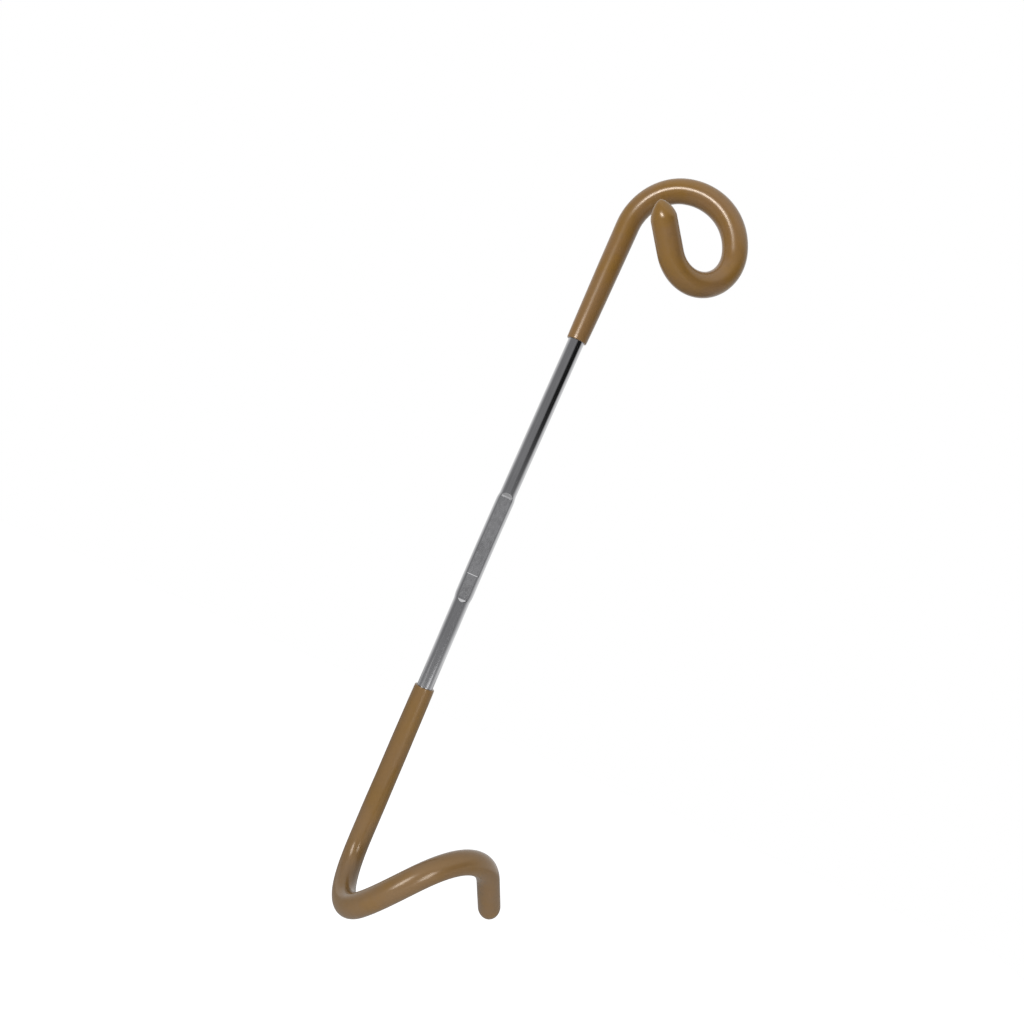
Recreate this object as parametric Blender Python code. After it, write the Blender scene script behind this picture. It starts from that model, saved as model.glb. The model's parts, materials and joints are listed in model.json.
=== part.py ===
# Pigtail lantern hook: one round steel bar, curled into an eye at the top and into an
# open hook at the bottom, with a flat pressed into the middle of its shank and a
# dip-moulded plastic coating over each curled end.
#
# Frame: +Z runs up the shank, the pressed flat faces -Y, and the origin is the point
# inside the crown of the eye that the whole hook hangs from.

import math

import bmesh
import bpy
from mathutils import Matrix, Vector

# The bar
BAR_DIAMETER = 0.00635
BAR_RADIUS = BAR_DIAMETER / 2

# The flat pressed into the middle of the shank, and the slight set that pressing leaves
FLAT_LENGTH = 0.0422
FLAT_WIDTH = 0.0070
FLAT_THICKNESS = 0.0051
FLAT_RAMP_LENGTH = 0.0012
FLAT_SET_DEGREES = 0.45

# The eye: straight bar above the flat, three bends and a straight tip
EYE_FEED = 0.1125
EYE_SHOULDER_RADIUS = 0.0190
EYE_CROWN_RADIUS = 0.0230
EYE_CURL_RADIUS = 0.0145
EYE_TIP_LENGTH = 0.0147

# The hook: straight bar below the flat, three bends and a straight tip
HOOK_FEED = 0.0966
HOOK_CRADLE_RADIUS = 0.0175
HOOK_RUN_RADIUS = 0.0295
HOOK_CURL_RADIUS = 0.0230
HOOK_TIP_LENGTH = 0.0173

# Each bend: roll of the bar before it, centreline radius, bend and twist, in degrees
EYE_BENDS = (
    (-29.0, EYE_SHOULDER_RADIUS, 81.0, 23.0),
    (-11.0, EYE_CROWN_RADIUS, 83.0, -1.0),
    (-31.0, EYE_CURL_RADIUS, 153.0, -17.0),
)
HOOK_BENDS = (
    (88.0, HOOK_CRADLE_RADIUS, 138.0, -38.0),
    (-13.0, HOOK_RUN_RADIUS, 47.0, -23.0),
    (-8.0, HOOK_CURL_RADIUS, 104.0, -34.0),
)

# The coatings: thin at the dip line, thicker towards the tip that hung lowest
EYE_BARE_LENGTH = 0.0648
HOOK_BARE_LENGTH = 0.0365
DIP_LINE_WALL = 0.00075
EYE_COAT_WALL = 0.00150
HOOK_COAT_WALL = 0.00116
COAT_GROWTH_LENGTH = 0.030
COAT_LIP_LENGTH = 0.0004
COAT_LIP_ROUND = 0.00025
EYE_TIP_COVER = 0.004
HOOK_TIP_COVER = 0.003
EYE_NOSE_LENGTH = 0.0075
HOOK_NOSE_LENGTH = 0.0052
BAR_CLEARANCE = 0.0003
BORE_OVERRUN = 0.001

# How finely round shapes are drawn
BEND_STEP_DEGREES = 11.0
STRAIGHT_STEP = 0.009
BAR_SIDES_RESOLUTION = 6
COAT_SIDES_RESOLUTION = 4
NOSE_ANGLE_SHARES = (0.17, 0.36, 0.56, 0.78)
NOSE_END_SHARE = 0.89
MERGE_DISTANCE = 0.000004
SMOOTH_ANGLE = math.radians(40)
QUARTER_TURN = math.radians(90)

STEEL_COLOUR = (0.62, 0.62, 0.63, 1.0)
COATING_COLOUR = (0.222, 0.133, 0.058, 1.0)


def clear_scene():
    for leftover in list(bpy.data.objects):
        bpy.data.objects.remove(leftover, do_unlink=True)


def make_collection(name):
    collection = bpy.data.collections.new(name)
    bpy.context.scene.collection.children.link(collection)
    return collection


def make_material(name, colour, metallic, roughness):
    material = bpy.data.materials.new(name)
    material.use_nodes = True
    shader = material.node_tree.nodes["Principled BSDF"]
    shader.inputs["Base Color"].default_value = colour
    shader.inputs["Metallic"].default_value = metallic
    shader.inputs["Roughness"].default_value = roughness
    material.diffuse_color = colour
    return material


class Bender:
    """The bar as it is fed and bent: where its end is, and which way it points."""

    def __init__(self, heading):
        self.point = Vector((0, 0, 0))
        self.heading = Vector(heading)
        self.inward = Vector((1, 0, 0))
        self.distance = 0.0
        self.stations = [(self.distance, self.point.copy())]

    def feed(self, length):
        """Push out a straight length of bar."""
        steps = math.ceil(length / STRAIGHT_STEP)
        start = self.point.copy()
        for step in range(1, steps + 1):
            self.point = start + self.heading * (length * step / steps)
            self.stations.append((self.distance + length * step / steps, self.point.copy()))
        self.distance += length

    def bend(self, roll, radius, angle, twist):
        """Roll the bar, then wind it at one radius, with an even twist along the bend."""
        self.inward.rotate(Matrix.Rotation(roll, 3, self.heading))
        turn = self.heading * twist + self.heading.cross(self.inward) * angle
        axis = turn.normalized()
        length = radius * angle
        coil_radius = radius * (angle / turn.length) ** 2
        centre = self.point + self.inward * coil_radius
        rise = axis * length * self.heading.dot(axis)
        arm = self.point - centre
        steps = max(2, math.ceil(turn.length / math.radians(BEND_STEP_DEGREES)))
        for step in range(1, steps + 1):
            spin = Matrix.Rotation(turn.length * step / steps, 3, axis)
            self.point = centre + spin @ arm + rise * (step / steps)
            self.stations.append((self.distance + length * step / steps, self.point.copy()))
        self.heading.rotate(spin)
        self.inward.rotate(spin)
        self.distance += length


def bent_end(heading, feed, bends, tip, cover):
    """One end's centreline, from the middle of the flat to the tip of its coating."""
    bender = Bender(heading)
    half_flat = FLAT_LENGTH / 2
    flat_set = math.radians(FLAT_SET_DEGREES)
    bender.bend(0.0, half_flat / flat_set, flat_set, 0.0)
    bender.feed(FLAT_RAMP_LENGTH)
    bender.feed(feed - FLAT_RAMP_LENGTH)
    for roll, radius, angle, twist in bends:
        bender.bend(math.radians(roll), radius, math.radians(angle), math.radians(twist))
    bender.feed(tip)
    bender.feed(cover)
    return bender.stations


def point_at(stations, distance):
    """The centreline point at a distance along one end of the bar."""
    for (near, start), (far, end) in zip(stations, stations[1:]):
        if distance <= far:
            return start.lerp(end, (distance - near) / (far - near))
    (near, start), (far, end) = stations[-2:]
    return start.lerp(end, (distance - near) / (far - near))


def tube_mesh(name, rings, full_radius, sides_resolution):
    """A closed tube along (point, radius) rings, from a bevelled curve, as a mesh."""
    curve = bpy.data.curves.new(name + "_line", "CURVE")
    curve.dimensions = "3D"
    curve.bevel_depth = full_radius
    curve.bevel_resolution = sides_resolution
    curve.use_fill_caps = True
    spline = curve.splines.new("POLY")
    spline.points.add(len(rings) - 1)
    for spline_point, (place, radius) in zip(spline.points, rings):
        spline_point.co = (*place, 1.0)
        spline_point.radius = radius / full_radius
    line = bpy.data.objects.new(name + "_line", curve)
    bpy.context.scene.collection.objects.link(line)
    graph = bpy.context.evaluated_depsgraph_get()
    mesh = bpy.data.meshes.new_from_object(line.evaluated_get(graph))
    mesh.name = name
    bpy.data.objects.remove(line, do_unlink=True)
    shape = bmesh.new()
    shape.from_mesh(mesh)
    bmesh.ops.remove_doubles(shape, verts=shape.verts, dist=MERGE_DISTANCE)
    bmesh.ops.recalc_face_normals(shape, faces=shape.faces)
    shape.to_mesh(mesh)
    shape.free()
    return mesh


def add_object(name, mesh, collection, parent, material=None):
    piece = bpy.data.objects.new(name, mesh)
    piece.parent = parent
    collection.objects.link(piece)
    if material:
        mesh.materials.clear()
        mesh.materials.append(material)
        mesh.shade_smooth()
        mesh.set_sharp_from_angle(angle=SMOOTH_ANGLE)
    return piece


def press_flat(mesh):
    """Press the middle of the bar between flat dies: thinner in Y, spread in X."""
    reach = (FLAT_LENGTH + FLAT_RAMP_LENGTH) / 2
    half_thickness = FLAT_THICKNESS / 2
    for vertex in mesh.vertices:
        if abs(vertex.co.z) < reach:
            vertex.co.x *= FLAT_WIDTH / BAR_DIAMETER
            vertex.co.y = max(-half_thickness, min(half_thickness, vertex.co.y))


def build_bar(eye_line, hook_line, collection, parent, material):
    """The bar itself, from the tip of the hook to the tip of the eye."""
    hook_end = hook_line[-1][0] - HOOK_TIP_COVER
    eye_end = eye_line[-1][0] - EYE_TIP_COVER
    hook_part = [place for distance, place in hook_line if distance < hook_end]
    hook_part.append(point_at(hook_line, hook_end))
    eye_part = [place for distance, place in eye_line if distance < eye_end]
    eye_part.append(point_at(eye_line, eye_end))
    centreline = hook_part[:0:-1] + eye_part
    rings = [(place, BAR_RADIUS) for place in centreline]
    mesh = tube_mesh("steel_bar", rings, BAR_RADIUS, BAR_SIDES_RESOLUTION)
    press_flat(mesh)
    return add_object("steel_bar", mesh, collection, parent, material)


def coat_radius(along, wall):
    """Outer radius of a coating at a distance from its dip line."""
    growth = 1 - math.exp(-along / COAT_GROWTH_LENGTH)
    return BAR_RADIUS + DIP_LINE_WALL + (wall - DIP_LINE_WALL) * growth


def build_coating(name, line, bare, wall, nose, cover, collections, parent, material):
    """A dip-moulded coating: a swelling tube with a round nose, bored for the bar."""
    parts, cutters = collections
    dip_line = FLAT_LENGTH / 2 + bare
    nose_tip = line[-1][0]
    nose_start = nose_tip - nose
    full_radius = BAR_RADIUS + wall

    lip_radius = coat_radius(0.0, wall) - COAT_LIP_ROUND
    rings = [(point_at(line, dip_line), lip_radius)]
    lip_end = dip_line + COAT_LIP_LENGTH
    rings.append((point_at(line, lip_end), coat_radius(COAT_LIP_LENGTH, wall)))
    for distance, place in line:
        if lip_end + COAT_LIP_LENGTH < distance < nose_start:
            rings.append((place, coat_radius(distance - dip_line, wall)))
    nose_radius = coat_radius(nose_start - dip_line, wall)
    rings.append((point_at(line, nose_start), nose_radius))
    for share in NOSE_ANGLE_SHARES:
        swing = QUARTER_TURN * share
        place = point_at(line, nose_start + nose * math.sin(swing))
        rings.append((place, nose_radius * math.cos(swing)))
    last_radius = nose_radius * math.cos(QUARTER_TURN * NOSE_END_SHARE)
    rings.append((line[-1][1], last_radius))
    outer = tube_mesh(name, rings, full_radius, COAT_SIDES_RESOLUTION)
    coating = add_object(name, outer, parts, parent, material)

    bore_start = dip_line - BORE_OVERRUN
    bore_end = nose_tip - cover + BAR_CLEARANCE
    bore_line = [point_at(line, bore_start)]
    bore_line += [place for distance, place in line if bore_start < distance < bore_end]
    bore_line.append(point_at(line, bore_end))
    bore_radius = BAR_RADIUS + BAR_CLEARANCE
    bore_rings = [(place, bore_radius) for place in bore_line]
    bore_mesh = tube_mesh(name + "_bore", bore_rings, bore_radius, COAT_SIDES_RESOLUTION)
    bore = add_object(name + "_bore", bore_mesh, cutters, parent)
    bore.hide_render = True
    bore.display_type = "WIRE"

    cut = coating.modifiers.new("bore", "BOOLEAN")
    cut.operation = "DIFFERENCE"
    cut.solver = "EXACT"
    cut.object = bore
    return coating


def main():
    clear_scene()
    parts = make_collection("pigtail_lantern_hook")
    cutters = make_collection("cutters")
    steel = make_material("polished_steel", STEEL_COLOUR, 1.0, 0.18)
    coating = make_material("brown_dip_coating", COATING_COLOUR, 0.0, 0.38)

    eye_line = bent_end((0, 0, 1), EYE_FEED, EYE_BENDS, EYE_TIP_LENGTH, EYE_TIP_COVER)
    hook_line = bent_end((0, 0, -1), HOOK_FEED, HOOK_BENDS, HOOK_TIP_LENGTH, HOOK_TIP_COVER)

    crown = max((place for distance, place in eye_line), key=lambda place: place.z)
    hang_point = crown - Vector((0, 0, BAR_RADIUS + EYE_COAT_WALL))
    frame = bpy.data.objects.new("hang_frame", None)
    frame.location = -hang_point
    parts.objects.link(frame)

    build_bar(eye_line, hook_line, parts, frame, steel)
    build_coating("eye_coating", eye_line, EYE_BARE_LENGTH, EYE_COAT_WALL,
                  EYE_NOSE_LENGTH, EYE_TIP_COVER, (parts, cutters), frame, coating)
    build_coating("hook_coating", hook_line, HOOK_BARE_LENGTH, HOOK_COAT_WALL,
                  HOOK_NOSE_LENGTH, HOOK_TIP_COVER, (parts, cutters), frame, coating)


main()
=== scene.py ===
import json
import math

import bmesh
import bpy
from mathutils import Matrix, Vector, noise


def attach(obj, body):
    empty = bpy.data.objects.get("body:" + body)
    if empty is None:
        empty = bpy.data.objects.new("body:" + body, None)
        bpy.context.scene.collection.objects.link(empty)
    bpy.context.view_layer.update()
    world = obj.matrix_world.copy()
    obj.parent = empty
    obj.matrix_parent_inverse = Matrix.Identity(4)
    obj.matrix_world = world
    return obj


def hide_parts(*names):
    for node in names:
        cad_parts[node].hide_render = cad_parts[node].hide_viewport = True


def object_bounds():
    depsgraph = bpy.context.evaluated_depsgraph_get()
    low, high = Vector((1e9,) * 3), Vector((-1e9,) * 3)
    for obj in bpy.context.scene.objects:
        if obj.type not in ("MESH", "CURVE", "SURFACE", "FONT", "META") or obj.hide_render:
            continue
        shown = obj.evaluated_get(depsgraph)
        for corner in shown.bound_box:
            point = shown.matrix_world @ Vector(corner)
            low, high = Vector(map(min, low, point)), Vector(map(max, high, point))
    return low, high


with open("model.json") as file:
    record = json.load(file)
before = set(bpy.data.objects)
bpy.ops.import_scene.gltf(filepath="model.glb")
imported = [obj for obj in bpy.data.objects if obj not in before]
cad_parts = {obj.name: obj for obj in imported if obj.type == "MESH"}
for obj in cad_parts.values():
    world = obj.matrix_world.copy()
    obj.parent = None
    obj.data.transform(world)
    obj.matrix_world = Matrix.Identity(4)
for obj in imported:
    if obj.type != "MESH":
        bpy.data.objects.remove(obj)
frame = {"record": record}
cad_low, cad_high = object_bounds()


# The steel bar. It is one length of bright plated round steel, pressed flat in the middle
# between two dies and then curled cold round the bender's pins, first one end and then
# the other. It runs from tip to tip, and both coatings grip it.

bar_diameter = 0.00635
bar_radius = bar_diameter / 2
bar_sides = 112

flat_length = 0.0422
half_flat = flat_length / 2
flat_width = 0.0070
flat_thickness = 0.0051
half_thickness = flat_thickness / 2
flat_set = math.radians(0.45)
die_slope_length = 0.0012
spread_run = 0.0030
die_step_place = -0.0114
die_step_depth = 0.00022
die_step_run = 0.0005
die_edge_round = 0.00012

# Each bend is its roll in degrees, its radius, its angle and its twist in degrees.
eye_feed = 0.1125
eye_bends = (
    (-29, 0.0190, 81, 23),
    (-11, 0.0230, 83, -1),
    (-31, 0.0145, 153, -17),
)
eye_tip_length = 0.0147
eye_tip_cover = 0.004

hook_feed = 0.0966
hook_bends = (
    (88, 0.0175, 138, -38),
    (-13, 0.0295, 47, -23),
    (-8, 0.0230, 104, -34),
)
hook_tip_length = 0.0173
hook_tip_cover = 0.003

flat_faces = [mount["pos_m"] for mount in frame["record"]["mounts"] if mount["kind"] == "flat_face"]
flat_centre = (Vector(flat_faces[0]) + Vector(flat_faces[1])) / 2


class BentEnd:
    """One end of the bar as the bender makes it, outwards from the middle of the flat."""

    def __init__(self, way, feed, bends, tip):
        self.place = Matrix.Translation(flat_centre)
        self.heading = Vector((0, 0, way))
        self.inward = Vector((1, 0, 0))
        self.length = 0.0
        self.moves = []
        self.bend(0, half_flat / flat_set, flat_set, 0)
        self.feed(feed)
        for roll, radius, angle, twist in bends:
            self.bend(math.radians(roll), radius, math.radians(angle), math.radians(twist))
        self.feed(tip)

    def feed(self, length):
        """Push out a straight length of bar."""
        self.move(length, Vector(), self.heading.copy(), 0.0, self.heading * length)

    def bend(self, roll, radius, angle, twist):
        """Roll the bar, then wind it at one radius, with an even twist along the bend."""
        self.inward.rotate(Matrix.Rotation(roll, 3, self.heading))
        turn = self.heading * twist + self.heading.cross(self.inward) * angle
        axis = turn.normalized()
        length = radius * angle
        coil_radius = radius * (angle / turn.length) ** 2
        centre = self.place.translation + self.inward * coil_radius
        self.move(length, centre, axis, turn.length, axis * length * self.heading.dot(axis))

    def move(self, length, centre, axis, angle, rise):
        """Keep one screw motion of the bar, and take the bar's end to where it leads."""
        self.moves.append((self.length, length, self.place, centre, axis, angle, rise))
        self.length += length
        self.place = self.at(self.length)
        self.heading.rotate(Matrix.Rotation(angle, 3, axis))
        self.inward.rotate(Matrix.Rotation(angle, 3, axis))

    def at(self, distance):
        """The bar's own axes at a distance along it."""
        held = next(move for move in reversed(self.moves) if distance >= move[0])
        start, length, place, centre, axis, angle, rise = held
        share = (distance - start) / length
        swing = Matrix.Rotation(angle * share, 4, axis)
        return Matrix.Translation(centre + rise * share) @ swing @ Matrix.Translation(-centre) @ place


eye_end = BentEnd(1, eye_feed, eye_bends, eye_tip_length + eye_tip_cover)
hook_end = BentEnd(-1, hook_feed, hook_bends, hook_tip_length + hook_tip_cover)


def even_steps(start, stop, step):
    """Distances from start to just before stop, evenly spaced and about a step apart."""
    count = math.ceil(abs(stop - start) / step)
    return [start + (stop - start) * number / count for number in range(count)]


def draw_skin(shape, sections, sides):
    """Extrude a capped round skin through (place, radius) sections, and return its rings."""
    place, radius = sections[0]
    first = bmesh.ops.create_circle(shape, cap_ends=True, segments=sides, radius=radius, matrix=place)
    corners = first["verts"]
    edges = list({edge for corner in corners for edge in corner.link_edges})
    rings = [corners]
    for next_place, next_radius in sections[1:]:
        grown = bmesh.ops.extrude_edge_only(shape, edges=edges)["geom"]
        corners = [part for part in grown if isinstance(part, bmesh.types.BMVert)]
        ring = set(corners)
        new_edges = [part for part in grown if isinstance(part, bmesh.types.BMEdge)]
        edges = [edge for edge in new_edges if ring.issuperset(edge.verts)]
        step = next_place @ Matrix.Scale(next_radius / radius, 4) @ place.inverted()
        bmesh.ops.transform(shape, matrix=step, verts=corners)
        rings.append(corners)
        place, radius = next_place, next_radius
    bmesh.ops.edgeloop_fill(shape, edges=edges)
    bmesh.ops.recalc_face_normals(shape, faces=shape.faces)
    return rings


def finished_piece(shape, name, sharp_degrees):
    """Turn the shape into an object with smooth faces and its sharp edges kept."""
    mesh = bpy.data.meshes.new(name)
    shape.to_mesh(mesh)
    shape.free()
    mesh.shade_smooth()
    mesh.set_sharp_from_angle(angle=math.radians(sharp_degrees))
    piece = bpy.data.objects.new(name, mesh)
    bpy.context.scene.collection.objects.link(piece)
    return piece


def eased(share):
    """A smooth rise from 0 to 1."""
    share = max(0.0, min(1.0, share))
    return share * share * (3 - 2 * share)


def soft_limit(depth, limit, rounding):
    """The smaller of two depths, with a rounded corner where they meet."""
    blend = max(rounding - abs(depth - limit), 0.0) / rounding
    return min(depth, limit) - blend * blend * rounding / 4


def press_flat(shape):
    """Press the middle of the bar between the dies: flat front and back, spread sideways."""
    for corner in shape.verts:
        height = corner.co.z - flat_centre.z
        along = abs(height)
        if along > half_flat + spread_run:
            continue
        spread = eased((half_flat + die_slope_length - along) / spread_run)
        corner.co.x += (corner.co.x - flat_centre.x) * (flat_width / bar_diameter - 1) * spread
        slope = max(0.0, min(1.0, (along - half_flat) / die_slope_length))
        gap = half_thickness + (bar_radius - half_thickness) * slope
        depth = corner.co.y - flat_centre.y
        if depth < 0:
            gap -= die_step_depth * eased((height - die_step_place) / die_step_run) * (1 - slope)
        pressed_depth = soft_limit(abs(depth), gap, die_edge_round)
        corner.co.y = flat_centre.y + math.copysign(pressed_depth, depth)


def bar_axes(distance):
    """The bar's axes at a distance from the middle of the flat, up towards the eye."""
    return eye_end.at(distance) if distance > 0 else hook_end.at(-distance)


# The bar's sections lie close together where its form changes, and far apart where it is straight.
hook_bar_tip = hook_tip_cover - hook_end.length
eye_bar_tip = eye_end.length - eye_tip_cover
flat_reach = half_flat + die_slope_length * 1.5
straight_reach = half_flat + 0.030
step_foot = die_step_place - die_step_run
step_head = die_step_place + 2 * die_step_run
curl_spacing = 0.0014
straight_spacing = 0.006
slope_spacing = 0.00015
flat_spacing = 0.001
die_step_spacing = 0.0001
stretches = (
    (hook_bar_tip, -straight_reach, curl_spacing),
    (-straight_reach, -flat_reach, straight_spacing),
    (-flat_reach, -half_flat, slope_spacing),
    (-half_flat, step_foot, flat_spacing),
    (step_foot, step_head, die_step_spacing),
    (step_head, half_flat, flat_spacing),
    (half_flat, flat_reach, slope_spacing),
    (flat_reach, straight_reach, straight_spacing),
    (straight_reach, eye_bar_tip, curl_spacing),
)
bar_marks = [mark for stretch in stretches for mark in even_steps(*stretch)] + [eye_bar_tip]

bar_shape = bmesh.new()
draw_skin(bar_shape, [(bar_axes(mark), bar_radius) for mark in bar_marks], bar_sides)
press_flat(bar_shape)
bar_shape.normal_update()
facing_share = 0.999
for face in bar_shape.faces:
    middle = face.calc_center_median() - flat_centre
    facing = abs(face.normal.y) > facing_share
    between_dies = abs(middle.z) < half_flat and abs(middle.y) < half_thickness + die_edge_round
    face.material_index = 1 if facing and between_dies else 0
steel_bar = finished_piece(bar_shape, "bent_steel_bar", sharp_degrees=40)


class Signal:
    """One output on a finish's node sheet. Arithmetic on signals adds Math nodes."""

    def __init__(self, sheet, socket):
        self.sheet = sheet
        self.socket = socket

    def maths(self, operation, first, second):
        return self.sheet.node("ShaderNodeMath", {0: first, 1: second}, operation=operation)

    def __add__(self, other):
        return self.maths("ADD", self, other)

    def __radd__(self, other):
        return self.maths("ADD", other, self)

    def __rsub__(self, other):
        return self.maths("SUBTRACT", other, self)

    def __mul__(self, other):
        return self.maths("MULTIPLY", self, other)

    def rise(self, start, stop):
        """Goes smoothly from 0 at start to 1 at stop."""
        return self.sheet.node(
            "ShaderNodeMapRange",
            {"Value": self, "From Min": start, "From Max": stop},
            interpolation_type="SMOOTHSTEP",
        )


class FinishSheet:
    """The node sheet of one finish, or of the studio round the object."""

    def __init__(self, owner):
        owner.use_nodes = True
        self.tree = owner.node_tree
        self.tree.nodes.clear()

    def node(self, kind, values=None, output=0, stops=(), **settings):
        """Add a node: its settings and ramp stops first, then the values or links it takes."""
        made = self.tree.nodes.new(kind)
        for name, value in settings.items():
            setattr(made, name, value)
        for number, (position, colour) in enumerate(stops):
            elements = made.color_ramp.elements
            stop = elements[number] if number < 2 else elements.new(position)
            stop.position = position
            stop.color = colour
        for name, value in (values or {}).items():
            if isinstance(value, Signal):
                self.tree.links.new(value.socket, made.inputs[name])
            else:
                made.inputs[name].default_value = value
        return Signal(self, made.outputs[output]) if made.outputs else None

    def mixed(self, share, first, second):
        """A colour that goes from the first to the second as the share goes from 0 to 1."""
        return self.node("ShaderNodeMix", {0: share, 6: first, 7: second}, output=2, data_type="RGBA")


steel_colour = (0.62, 0.62, 0.63, 1)
steel_dull_colour = (0.50, 0.50, 0.51, 1)
steel_burnished_colour = (0.80, 0.80, 0.81, 1)
line_dulling = 0.6
cloud_dulling = 0.4
dulling_range = (0.35, 0.75)


def steel_finish(name, colour, line_stretch, roughness, roughness_swing, line_depth):
    """Plated steel with fine lines: drawn along the bar, or pressed across the flat."""
    material = bpy.data.materials.new(name)
    sheet = FinishSheet(material)
    place = sheet.node("ShaderNodeTexCoord", output="Object")
    drawn_place = sheet.node("ShaderNodeMapping", {"Vector": place, "Scale": line_stretch})
    lines = sheet.node("ShaderNodeTexNoise", {"Vector": drawn_place, "Scale": 1.0, "Detail": 3.0})
    clouds = sheet.node("ShaderNodeTexNoise", {"Vector": place, "Scale": 90.0, "Detail": 2.0})
    dulling = (lines * line_dulling + clouds * cloud_dulling).rise(*dulling_range)
    bump = sheet.node("ShaderNodeBump", {"Strength": 0.5, "Distance": line_depth, "Height": lines})
    shader = sheet.node("ShaderNodeBsdfPrincipled", {
        "Base Color": sheet.mixed(dulling, colour, steel_dull_colour),
        "Metallic": 1.0,
        "Roughness": roughness + dulling * roughness_swing,
        "Normal": bump,
    })
    sheet.node("ShaderNodeOutputMaterial", {"Surface": shader})
    return material


drawn_steel = steel_finish(
    "plated_steel", steel_colour, line_stretch=(2600, 2600, 24),
    roughness=0.10, roughness_swing=0.08, line_depth=0.000004,
)
pressed_steel = steel_finish(
    "pressed_steel", steel_burnished_colour, line_stretch=(900, 900, 500),
    roughness=0.20, roughness_swing=0.12, line_depth=0.00002,
)
steel_bar.data.materials.append(drawn_steel)
steel_bar.data.materials.append(pressed_steel)
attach(steel_bar, "root")
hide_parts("steel_bar")


# The coating on the eye. It is soft brown vinyl, moulded on by warming the curled end and
# dipping it tip first, so it is thin at the dip line, thickens towards the tip and rounds
# it over. It grips the bar and ends in a square lip on the shank.

dip_line_wall = 0.00075
coat_growth_length = 0.030
coat_sides = 72
bore_spacing = 0.0025
coat_spacing = 0.0010
lip_round = 0.00025
lip_steps = 6
nose_steps = 30
bar_grip_gap = 0.00002
coat_unevenness = 0.00007
coat_lump_length = 0.016

eye_bare_length = 0.0648
eye_coat_wall = 0.00150
eye_nose_length = 0.0066
eye_nose_bluntness = 1.55


def coat_radius(along, wall):
    """Outer radius of a coating at a distance from its dip line."""
    growth = 1 - math.exp(-along / coat_growth_length)
    return bar_radius + dip_line_wall + (wall - dip_line_wall) * growth


def dip_coat(name, end, bare, wall, cover, nose, bluntness):
    """One coating: out of its blind bore, round the lip, along the outside and over the tip."""
    dip_line = half_flat + bare
    bore = even_steps(end.length - cover, dip_line, bore_spacing)
    sections = [(end.at(mark), bar_radius + bar_grip_gap) for mark in bore]
    sections.append((end.at(dip_line), bar_radius + bar_grip_gap))
    lip_radius = coat_radius(0, wall) - lip_round
    for number in range(lip_steps + 1):
        swing = math.radians(90 / lip_steps * number)
        mark = dip_line + lip_round * (1 - math.cos(swing))
        sections.append((end.at(mark), lip_radius + lip_round * math.sin(swing)))
    lip_sections = len(sections)
    nose_start = end.length - nose
    for mark in even_steps(dip_line + 2 * lip_round, nose_start, coat_spacing):
        sections.append((end.at(mark), coat_radius(mark - dip_line, wall)))
    nose_radius = coat_radius(nose_start - dip_line, wall)
    for number in range(nose_steps):
        swing = math.radians(90 / nose_steps * number)
        mark = nose_start + nose * math.sin(swing) ** (2 / bluntness)
        sections.append((end.at(mark), nose_radius * math.cos(swing) ** (2 / bluntness)))

    shape = bmesh.new()
    rings = draw_skin(shape, sections, coat_sides)
    shape.normal_update()
    for ring in rings[lip_sections:]:
        for corner in ring:
            lump = noise.noise(corner.co / coat_lump_length)
            corner.co += corner.normal * (lump * coat_unevenness)
    return finished_piece(shape, name, sharp_degrees=50)


# The vinyl's colours in linear light, and the heights on the hook between which they change.
vinyl_colour = (0.258, 0.136, 0.031, 1)
vinyl_warm_colour = (0.252, 0.140, 0.054, 1)
vinyl_deep_and_shade_colour = (0.172, 0.100, 0.034, 1)
vinyl_bloom_colour = (0.196, 0.130, 0.070, 1)
vinyl_gloss_tint = (1.0, 0.88, 0.76, 1)
cloud_range = (0.38, 0.62)
bloom_heights = (-0.240, -0.268)
bloom_share = 0.9
# Between these heights the hook's straight shank is painted darker towards the deep colour. This is
# painted shade, standing in for less light falling on it.
painted_shade_foot_heights = (-0.264, -0.248)
painted_shade_top_heights = (-0.100, -0.150)
painted_shade_share = 0.5
mottle_range = (0.5, 0.85)
mottle_share = 0.35
speck_range = (0.03, 0.09)
speck_share = 0.4
dimple_height = 0.3
cloud_height = 4.0
vinyl_roughness = 0.22
vinyl_roughness_swing = 0.06


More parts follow.
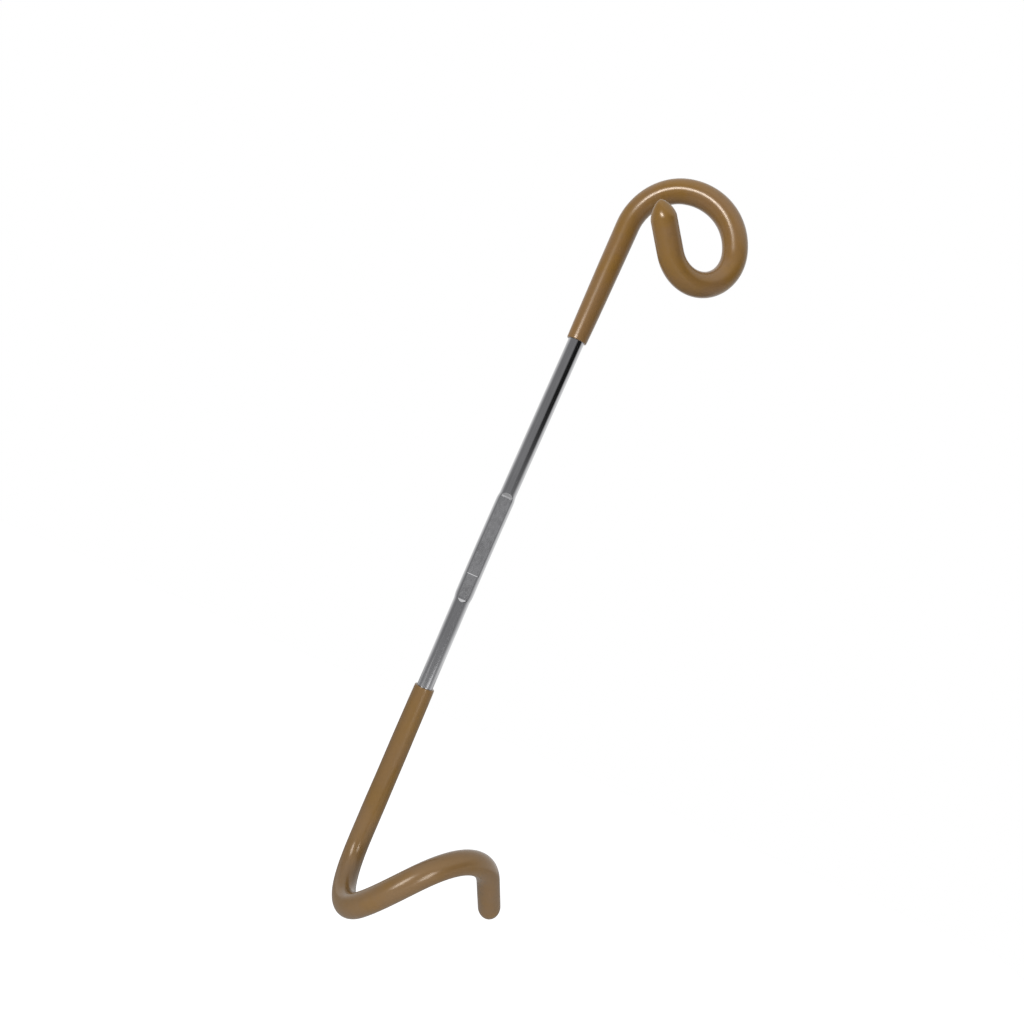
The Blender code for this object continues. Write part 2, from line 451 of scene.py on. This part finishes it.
def vinyl_finish():
    """Brown dip vinyl: clouded colour, painted shade on the hook's straight shank, a faint skin of
    dimples and a soft, even gloss.
    """
    material = bpy.data.materials.new("brown_dip_vinyl")
    sheet = FinishSheet(material)
    place = sheet.node("ShaderNodeTexCoord", output="Object")
    clouds = sheet.node("ShaderNodeTexNoise", {"Vector": place, "Scale": 70.0, "Detail": 3.0})
    mottle = sheet.node("ShaderNodeTexNoise", {"Vector": place, "Scale": 420.0, "Detail": 3.0})
    dimples = sheet.node("ShaderNodeTexNoise", {"Vector": place, "Scale": 900.0, "Detail": 2.0})
    specks = sheet.node("ShaderNodeTexVoronoi", {"Vector": place, "Scale": 330.0}, output="Distance")
    height = sheet.node("ShaderNodeSeparateXYZ", {0: place}, output="Z")
    colour = sheet.mixed(clouds.rise(*cloud_range), vinyl_colour, vinyl_warm_colour)
    bloom = height.rise(*bloom_heights) * (clouds * bloom_share)
    colour = sheet.mixed(bloom, colour, vinyl_bloom_colour)
    # Painted shade: the hook's straight shank is darkened towards the deep colour.
    painted_shade = height.rise(*painted_shade_foot_heights) * height.rise(*painted_shade_top_heights)
    colour = sheet.mixed(painted_shade * painted_shade_share, colour, vinyl_deep_and_shade_colour)
    colour = sheet.mixed(mottle.rise(*mottle_range) * mottle_share, colour, vinyl_deep_and_shade_colour)
    colour = sheet.mixed((1 - specks.rise(*speck_range)) * speck_share, colour, vinyl_deep_and_shade_colour)
    bump = sheet.node("ShaderNodeBump", {
        "Strength": 0.35,
        "Distance": 0.000006,
        "Height": dimples * dimple_height + clouds * cloud_height,
    })
    shader = sheet.node("ShaderNodeBsdfPrincipled", {
        "Base Color": colour,
        "Roughness": vinyl_roughness + mottle * vinyl_roughness_swing,
        "IOR": 1.55,
        "Specular Tint": vinyl_gloss_tint,
        "Normal": bump,
    })
    sheet.node("ShaderNodeOutputMaterial", {"Surface": shader})
    return material


vinyl = vinyl_finish()
eye_coating = dip_coat("eye_dip_coating", eye_end, eye_bare_length, eye_coat_wall,
                       eye_tip_cover, eye_nose_length, eye_nose_bluntness)
eye_coating.data.materials.append(vinyl)
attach(eye_coating, "root")
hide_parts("eye_coating")


# The coating on the hook. It is the same vinyl, from a second dip with the bar turned over,
# a little thinner than the first and closer to the flat.

hook_bare_length = 0.0365
hook_coat_wall = 0.00116
hook_nose_length = 0.0052
hook_nose_bluntness = 2.0

hook_coating = dip_coat("hook_dip_coating", hook_end, hook_bare_length, hook_coat_wall,
                        hook_tip_cover, hook_nose_length, hook_nose_bluntness)
hook_coating.data.materials.append(vinyl)
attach(hook_coating, "root")
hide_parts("hook_coating")


# The camera. It stands close in front of the flat and a little above it, and it is rolled,
# so that the upright shank leans across the picture from lower left to upper right.

camera_roll = math.radians(23.6)
camera_distance = 0.342
camera_side = 0.00416
camera_rise = 0.01652
camera_place = flat_centre + Vector((camera_side, -camera_distance, camera_rise))
picture_half_width = 0.1946
nearest_seen = 0.01

camera_right = Vector((math.cos(camera_roll), 0, math.sin(camera_roll)))
camera_up = Vector((-math.sin(camera_roll), 0, math.cos(camera_roll)))
camera_back = Vector((0, -1, 0))

lens = bpy.data.cameras.new("camera")
lens.lens = lens.sensor_width / 2 * camera_distance / picture_half_width
lens.clip_start = nearest_seen
camera = bpy.data.objects.new("camera", lens)
turn = Matrix((camera_right, camera_up, camera_back)).transposed()
camera.matrix_world = Matrix.Translation(camera_place) @ turn.to_4x4()
bpy.context.scene.collection.objects.link(camera)
bpy.context.scene.camera = camera


# The floor. It is a pale sheet a little below the hanging hook. A glow that only the camera
# sees lifts it to nearly white.

floor_gap = 0.09
floor_half_size = 0.7
floor_cells = 8
floor_colour = (0.85, 0.85, 0.85, 1)
floor_lift = 0.74
white = (1, 1, 1, 1)

floor_shape = bmesh.new()
bmesh.ops.create_grid(floor_shape, x_segments=floor_cells, y_segments=floor_cells, size=floor_half_size,
                      matrix=Matrix.Translation((0, 0, cad_low.z - floor_gap)))
floor = finished_piece(floor_shape, "floor", sharp_degrees=30)
floor_material = bpy.data.materials.new("pale_floor")
sheet = FinishSheet(floor_material)
matt = sheet.node("ShaderNodeBsdfDiffuse", {"Color": floor_colour})
seen = sheet.node("ShaderNodeLightPath", output="Is Camera Ray")
glow = sheet.node("ShaderNodeEmission", {"Color": white, "Strength": seen * floor_lift})
both = sheet.node("ShaderNodeAddShader", {0: matt, 1: glow})
sheet.node("ShaderNodeOutputMaterial", {"Surface": both})
floor.data.materials.append(floor_material)


# The studio. White paper stands behind the hook and shows to the camera, and polished steel
# mirrors it at its rims. On the camera's side the steel mirrors a grey room with a dark
# doorway on its right and white overhead. Matt surfaces take an even, weaker light.

fill_light = 0.34
room_way = Vector((-0.14, -0.99, 0.0))
doorway_way = Vector((0.751, -0.630, 0.2))
doorway_edge = (0.74, 0.945)
doorway_sill = (-0.01, 0.10)
overhead_edge = (0.45, 0.75)
doorway_colour = (0.01, 0.01, 0.01, 1)

# The ramp starts with two stops of its own, so its lowest and highest stops come first.
studio_stops = (
    (0.00, (0.27, 0.27, 0.275, 1)),
    (0.95, (1, 1, 1, 1)),
    (0.25, (0.25, 0.25, 0.255, 1)),
    (0.36, (0.29, 0.29, 0.295, 1)),
    (0.51, (0.48, 0.48, 0.485, 1)),
    (0.69, (0.80, 0.80, 0.80, 1)),
)

studio = bpy.data.worlds.new("studio")
bpy.context.scene.world = studio
sheet = FinishSheet(studio)
camera_ray = sheet.node("ShaderNodeLightPath", output="Is Camera Ray")
glossy_ray = sheet.node("ShaderNodeLightPath", output="Is Glossy Ray")
clear_ray = sheet.node("ShaderNodeLightPath", output="Is Transmission Ray")
way = sheet.node("ShaderNodeTexCoord", output="Generated")
from_room = sheet.node("ShaderNodeVectorMath", {0: way, 1: room_way}, output="Value",
                       operation="DOT_PRODUCT")
to_door = sheet.node("ShaderNodeVectorMath", {0: way, 1: doorway_way}, output="Value",
                     operation="DOT_PRODUCT")
height = sheet.node("ShaderNodeSeparateXYZ", {0: way}, output="Z")
mirrored = sheet.node("ShaderNodeValToRGB", {"Fac": 0.5 - from_room * 0.5}, stops=studio_stops)
doorway = to_door.rise(*doorway_edge) * height.rise(*doorway_sill)
mirrored = sheet.mixed(doorway, mirrored, doorway_colour)
mirrored = sheet.mixed(height.rise(*overhead_edge), mirrored, white)
fill_colour = (fill_light, fill_light, fill_light, 1)
colour = sheet.mixed(glossy_ray, fill_colour, mirrored)
colour = sheet.mixed(camera_ray + clear_ray, colour, white)
background = sheet.node("ShaderNodeBackground", {"Color": colour, "Strength": 1.0})
sheet.node("ShaderNodeOutputWorld", {"Surface": background})


# The lamps. Each coating has its own, and flags keep all of them off the bare steel, so the
# steel mirrors the room alone. The eye's lamp and the side lamp light the floor as well.

def soft_lamp(name, way, distance, width, height, radiance, lit_pieces):
    """A soft oval lamp aimed at the picture's middle. Its power is pi times radiance and area."""
    light = bpy.data.lights.new(name, "AREA")
    light.shape = "ELLIPSE"
    light.size = width
    light.size_y = height
    light.energy = radiance * math.pi * math.pi * width * height / 4
    lamp = bpy.data.objects.new(name, light)
    way = Vector(way).normalized()
    place = camera_place - camera_back * camera_distance + way * distance
    lamp.matrix_world = Matrix.Translation(place) @ way.to_track_quat("Z", "Y").to_matrix().to_4x4()
    lamp.visible_camera = False
    flagged = bpy.data.collections.new(name + "_flags")
    for piece in lit_pieces:
        flagged.objects.link(piece)
    lamp.light_linking.receiver_collection = flagged
    bpy.context.scene.collection.objects.link(lamp)


soft_lamp(
    "eye_lamp", way=(-0.468, -0.881, 0.068), distance=3.0, width=1.34, height=0.50,
    radiance=33.0, lit_pieces=(eye_coating, floor),
)
soft_lamp(
    "hook_lamp", way=(-0.557, -0.781, 0.284), distance=3.0, width=0.80, height=1.70,
    radiance=12.0, lit_pieces=(hook_coating,),
)
soft_lamp(
    "side_lamp", way=(0.412, -0.908, 0.070), distance=1.0, width=0.32, height=0.50,
    radiance=9.8, lit_pieces=(hook_coating, floor),
)

bpy.context.scene.view_settings.view_transform = "Standard"
